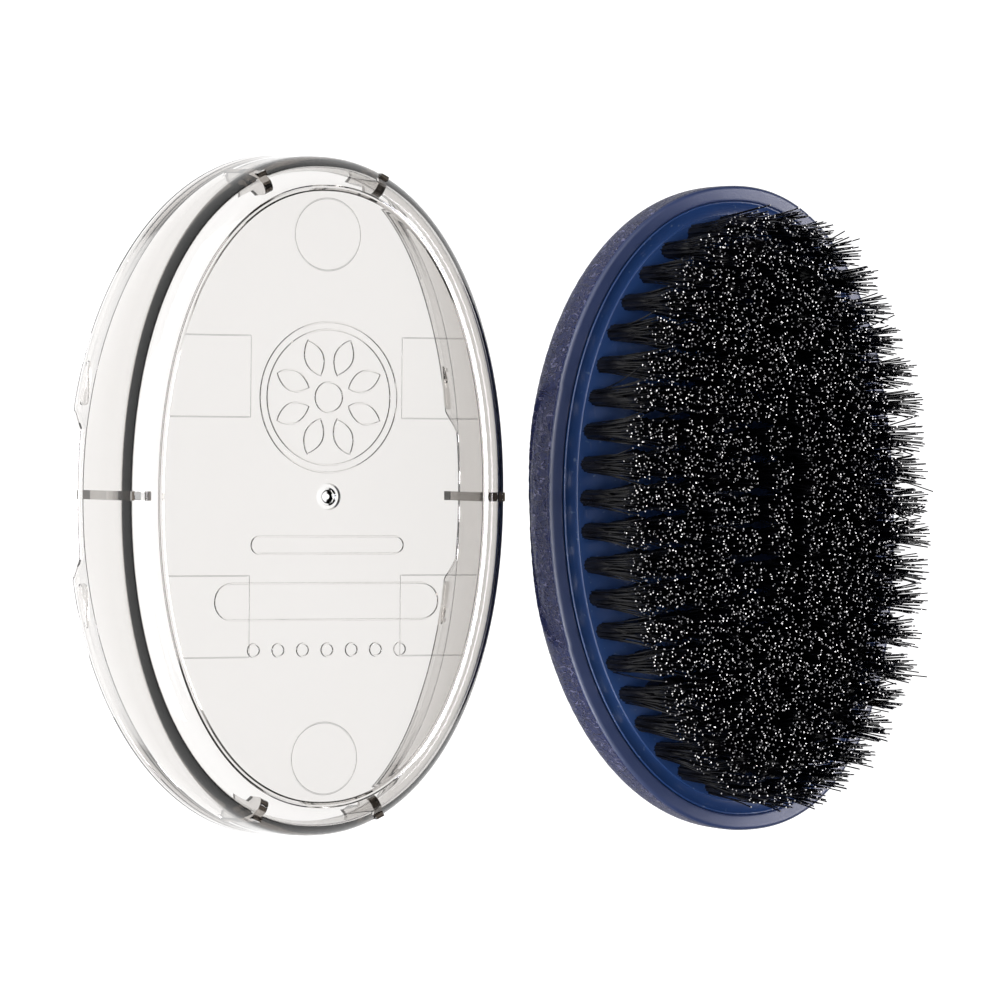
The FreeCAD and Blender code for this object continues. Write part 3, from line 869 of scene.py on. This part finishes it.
def cover_rib(x, y, inward):
    """An upright rib: shallow low down, deeper above, with a rounded upper end."""
    low = SKIRT_HEIGHT + float(bow(y)) * RIB_FOOT_FOLLOWS_BOW
    high = SKIRT_HEIGHT + RIB_HEIGHT
    step = low + RIB_SHALLOW_HEIGHT
    outline = [(-RIB_ROOT[0], low), (RIB_SHALLOW, low), (RIB_SHALLOW, step)]
    outline += [(RIB_DEEP, step + RIB_STEP), (RIB_DEEP, high - RIB_ROUND)]
    for k in range(1, RIB_ROUND_STEPS + 1):
        turn = k / RIB_ROUND_STEPS * math.pi / 2
        outline.append((RIB_DEEP - RIB_ROUND * (1 - math.cos(turn)), high - RIB_ROUND * (1 - math.sin(turn))))
    outline.append((-RIB_ROOT[1], high))
    points, faces = closed_prism(outline, RIB_THICK)
    return turned(points, inward, x, y), faces


def snap_bead(side, end):
    """A rounded bar inside the skirt that drops into a finger recess of the brush."""
    y = end * BEAD_CENTRE_Y
    reach = (1 - (abs(y) / (HALF_LENGTH + SKIRT_GAP)) ** OVAL_POWER) ** (1 / OVAL_POWER)
    x = side * ((HALF_WIDTH + SKIRT_GAP) * reach + BEAD_IN_WALL)
    around = BEAD_SIDES
    turns = np.arange(around) / around * 2 * math.pi
    rings = []
    for along, size in zip(BEAD_STATIONS, BEAD_SIZES):
        radius = BEAD_RADIUS * size
        height = BEAD_Z + float(bow(y)) + radius * np.sin(turns)
        rings.append(np.stack([radius * np.cos(turns), np.full(around, along), height], 1))
    lean = side * end * math.atan(BEAD_SLOPE)
    return turned(np.concatenate(rings), lean, x, y), ring_faces(len(rings), around)


def ridge(path, width, low, high, closed=True):
    """A low raised line along a path on the flat top."""
    path = np.asarray(path, dtype=float)
    ahead = np.roll(path, -1, axis=0) - np.roll(path, 1, axis=0)
    if not closed:
        ahead[0] = path[1] - path[0]
        ahead[-1] = path[-1] - path[-2]
    ahead /= np.linalg.norm(ahead, axis=1)[:, None]
    across = np.stack([-ahead[:, 1], ahead[:, 0]], 1) * width / 2
    count = len(path)
    corners = []
    for share, z in ((1.0, low), (0.4, high), (-0.4, high), (-1.0, low)):
        corners.append(np.column_stack([path + across * share, np.full(count, z)]))
    points = np.stack(corners, 1).reshape(-1, 3)
    faces = []
    for i in range(count if closed else count - 1):
        j = (i + 1) % count
        for k in range(4):
            m = (k + 1) % 4
            faces.append((i * 4 + k, j * 4 + k, j * 4 + m, i * 4 + m))
    if not closed:
        faces.append((0, 1, 2, 3))
        last = (count - 1) * 4
        faces.append((last + 3, last + 2, last + 1, last))
    return points, faces


def circle(radius, x, y, count):
    turns = np.arange(count) / count * 2 * math.pi
    return np.stack([x + radius * np.cos(turns), y + radius * np.sin(turns)], 1)


def petal(turn):
    """One leaf-shaped loop of the rosette."""
    near, far = PETAL_REACH
    outward = np.linspace(0, 1, PETAL_STEPS)
    along = np.concatenate([outward, outward[::-1][1:-1]])
    side = np.concatenate([np.ones(PETAL_STEPS), -np.ones(PETAL_STEPS - 2)])
    across = side * PETAL_WIDTH * np.sin(math.pi * along) ** PETAL_FULLNESS
    radius = near + (far - near) * along
    x = radius * math.cos(turn) - across * math.sin(turn)
    y = radius * math.sin(turn) + across * math.cos(turn)
    return np.stack([x, y + ROSETTE_Y], 1)


def bar_outline(x, y, half_length, half_height):
    """The outline of a bar with rounded ends."""
    turns = np.linspace(-math.pi / 2, math.pi / 2, 12)
    right = np.stack([x + half_length + half_height * np.cos(turns), y + half_height * np.sin(turns)], 1)
    left = np.stack([x - half_length - half_height * np.cos(turns), y - half_height * np.sin(turns)], 1)
    return np.concatenate([right, left])


def cover_ornament():
    """A plain rosette, two bars and a row of dots, raised on the flat top."""
    low = COVER_HEIGHT - ORNAMENT_SUNK
    high = COVER_HEIGHT + ORNAMENT_RISE
    loops = [circle(radius, 0, ROSETTE_Y, count) for radius, count in ROSETTE_RINGS]
    loops += [petal((k + 0.5) * 2 * math.pi / PETALS) for k in range(PETALS)]
    loops += [bar_outline(0, y, half_length, half_height) for y, half_length, half_height in BARS]
    dots = range(-DOTS_EACH_SIDE, DOTS_EACH_SIDE + 1)
    loops += [circle(DOT_RADIUS, DOT_PITCH * k, DOT_Y, 24) for k in dots]
    return [ridge(loop, ORNAMENT_WIDTH, low, high) for loop in loops]


def witness_marks():
    """Faint lines that the mould's ejectors and slides leave under the flat top."""
    high = COVER_HEIGHT - COVER_TOP + MARK_SUNK
    low = high - MARK_DEPTH
    parts = []
    for end in (1, -1):
        parts.append(ridge(circle(EJECTOR_RADIUS, 0, EJECTOR_Y * end, 72), EJECTOR_WIDTH, high, low))
    for side in (1, -1):
        for end in (1, -1):
            path = np.array([(side * x, end * y) for x, y in SLIDE_CORNER])
            fine = [path[0]]
            for a, b in zip(path, path[1:]):
                fine += [a + (b - a) * share for share in SLIDE_SPLITS]
            parts.append(ridge(fine, SLIDE_WIDTH, high, low, closed=False))
    return parts


def join_parts(parts):
    points = []
    faces = []
    start = 0
    for part_points, part_faces in parts:
        points.append(part_points)
        faces += [tuple(i + start for i in face) for face in part_faces]
        start += len(part_points)
    return np.concatenate(points), faces


def outward_normals(obj):
    mesh = bmesh.new()
    mesh.from_mesh(obj.data)
    bmesh.ops.recalc_face_normals(mesh, faces=mesh.faces)
    mesh.to_mesh(obj.data)
    mesh.free()


def make_cover(material):
    low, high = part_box("dust_cover")
    centre = (Vector(low) + Vector(high)) / 2
    place = Matrix.Translation((centre.x, centre.y, high[2] - COVER_HEIGHT * MM))
    place = place @ Matrix.Rotation(COVER_TURN, 4, "Z")

    points, faces = cover_shell()
    obj = make_object("clear_cover", points, faces, [material], crease=COVER_CREASE)
    outward_normals(obj)
    wall_x = COVER_HALF_WIDTH - COVER_WALL - RIB_IN_WALL
    parts = [cover_rib(-wall_x, 0, 0), cover_rib(wall_x, 0, math.pi)]
    rib_x, rib_y = END_RIB
    for side in (1, -1):
        for end in (1, -1):
            inward = math.atan2(-end * END_RIB_INWARD[1], -side * END_RIB_INWARD[0])
            parts.append(cover_rib(side * rib_x, end * rib_y, inward))
            parts.append(snap_bead(side, end))
    parts += cover_ornament()
    parts += witness_marks()
    added_points, added_faces = join_parts(parts)
    added = make_object("cover_details", added_points, added_faces, [material])
    outward_normals(added)
    union = obj.modifiers.new("details", "BOOLEAN")
    union.operation = "UNION"
    union.solver = "MANIFOLD"
    union.object = added
    graph = bpy.context.evaluated_depsgraph_get()
    joined = bpy.data.meshes.new_from_object(obj.evaluated_get(graph))
    obj.modifiers.clear()
    obj.data = joined
    bpy.data.objects.remove(added)
    joined.transform(place)
    joined.shade_smooth()
    joined.set_sharp_from_angle(angle=math.radians(COVER_CREASE))
    joined.name = "clear_cover"
    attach(obj, "cover")
    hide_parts("dust_cover")


# ---- light, floor and camera ----------------------------------------------------------
def make_floor():
    size = TABLE_HALF_SIZE
    points = [(-size, -size, 0), (size, -size, 0), (size, size, 0), (-size, size, 0)]
    mesh = bpy.data.meshes.new("tabletop")
    mesh.from_pydata(points, [], [(0, 1, 2, 3)])
    mesh.materials.append(floor_material())
    obj = bpy.data.objects.new("tabletop", mesh)
    bpy.context.scene.collection.objects.link(obj)
    obj.location = (*TABLE_CENTRE, -TABLE_BELOW)


def area_light(name, place, width, height, power, colour):
    light = bpy.data.lights.new(name, "AREA")
    light.shape = "RECTANGLE"
    light.size = width
    light.size_y = height
    light.energy = power
    light.color = colour
    obj = bpy.data.objects.new(name, light)
    bpy.context.scene.collection.objects.link(obj)
    obj.location = place
    aim = Vector(LAMP_TARGET) - Vector(place)
    obj.rotation_euler = aim.to_track_quat("-Z", "Y").to_euler()


def make_lights():
    for lamp in LAMPS:
        area_light(*lamp)
    world = bpy.data.worlds.new("studio")
    world.use_nodes = True
    background = world.node_tree.nodes["Background"]
    background.inputs["Color"].default_value = (1, 1, 1, 1)
    background.inputs["Strength"].default_value = ROOM_LIGHT
    bpy.context.scene.world = world


def make_camera():
    toward = Vector((
        math.sin(CAMERA_YAW) * math.cos(CAMERA_PITCH), math.sin(CAMERA_PITCH),
        math.cos(CAMERA_YAW) * math.cos(CAMERA_PITCH)))
    right = Vector((0, 1, 0)).cross(toward).normalized()
    up = toward.cross(right)
    c = math.cos(CAMERA_ROLL)
    s = math.sin(CAMERA_ROLL)
    turned_right = right * c + up * s
    turned_up = up * c - right * s
    camera = bpy.data.cameras.new("camera")
    camera.lens = CAMERA_LENS
    camera.sensor_width = 36
    camera.clip_end = 100
    obj = bpy.data.objects.new("camera", camera)
    bpy.context.scene.collection.objects.link(obj)
    turn = Matrix((turned_right, turned_up, toward)).transposed().to_4x4()
    obj.matrix_world = Matrix.Translation(CAMERA_PLACE) @ turn
    bpy.context.scene.camera = obj
    bpy.context.scene.view_settings.view_transform = "Standard"


def finish_anchors():
    material = anchor_material()
    for name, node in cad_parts.items():
        if name.startswith("tuft_anchors"):
            node.data.materials.clear()
            node.data.materials.append(material)


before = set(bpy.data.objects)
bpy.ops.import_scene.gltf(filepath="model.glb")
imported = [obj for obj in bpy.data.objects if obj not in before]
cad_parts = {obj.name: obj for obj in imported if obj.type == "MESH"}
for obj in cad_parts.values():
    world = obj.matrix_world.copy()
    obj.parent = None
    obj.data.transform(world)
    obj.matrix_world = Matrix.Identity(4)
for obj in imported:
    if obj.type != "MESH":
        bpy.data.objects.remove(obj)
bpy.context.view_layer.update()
make_handle(body_material(), grain_material())
make_plate(plate_material())
strand_look = strand_material()
cut_look = tip_material()
all_centres = [ring_centres(ring) for ring in range(len(RING_COUNTS))] + [row_centres()]
for number, centres in enumerate(all_centres, start=1):
    make_bristles(number, centres, strand_look, cut_look)
make_cover(cover_material())
finish_anchors()
make_floor()
make_lights()
make_camera()
